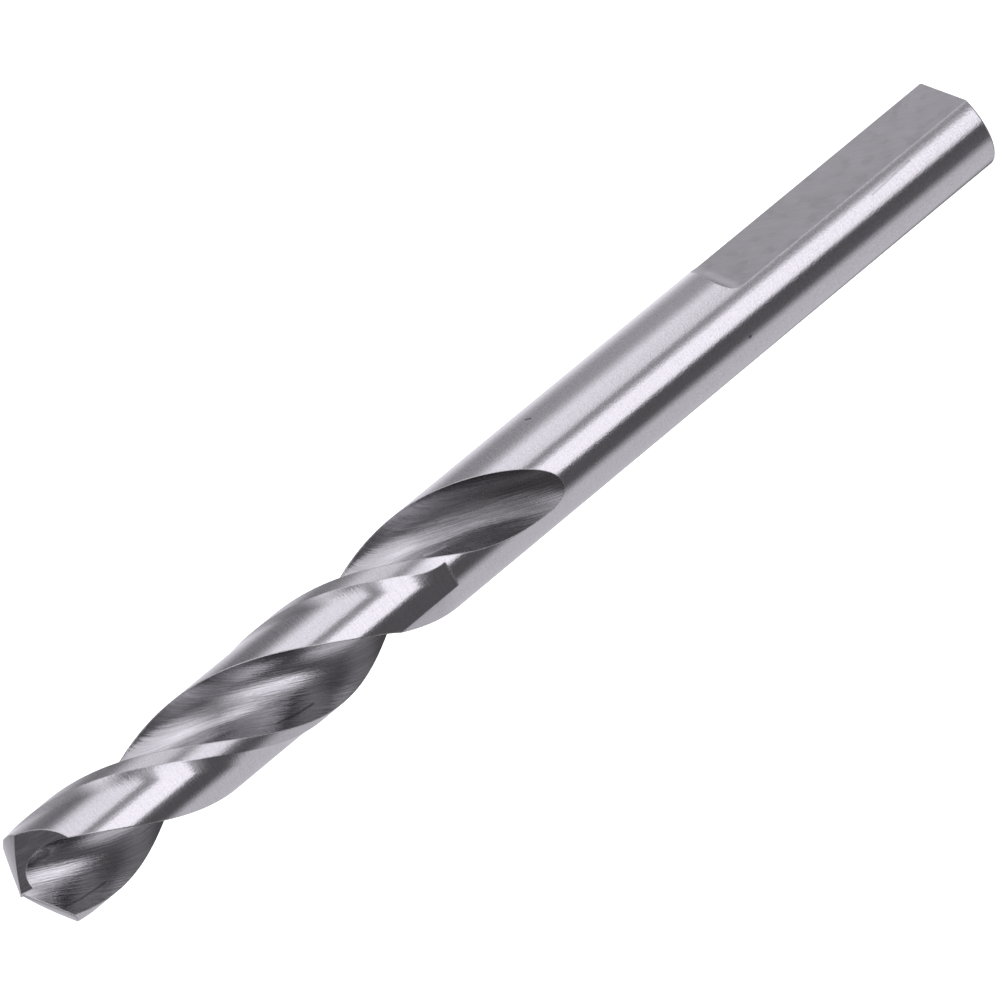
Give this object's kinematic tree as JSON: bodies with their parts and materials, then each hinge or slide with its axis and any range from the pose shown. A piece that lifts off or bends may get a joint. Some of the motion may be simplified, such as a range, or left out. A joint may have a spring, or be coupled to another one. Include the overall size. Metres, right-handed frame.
{
  "type": "pilot drill bit",
  "caption": "Straight-shank steel twist drill with a split point, right-hand helical flutes that run out halfway up the bar, and a grub-screw flat on its shank.",
  "frame": {"origin": "middle of the shank's end face, on the drill's axis", "axes": "+Z along the axis from the shank end up to the point; the flat on the shank faces -Y"},
  "size_m": [0.0064, 0.0064, 0.072],
  "materials": {
    "ground_steel": "bright high speed steel, ground all over"
  },
  "bodies": {
    "root": {"pilot_drill_bit": "ground_steel"}
  },
  "joints": []
}
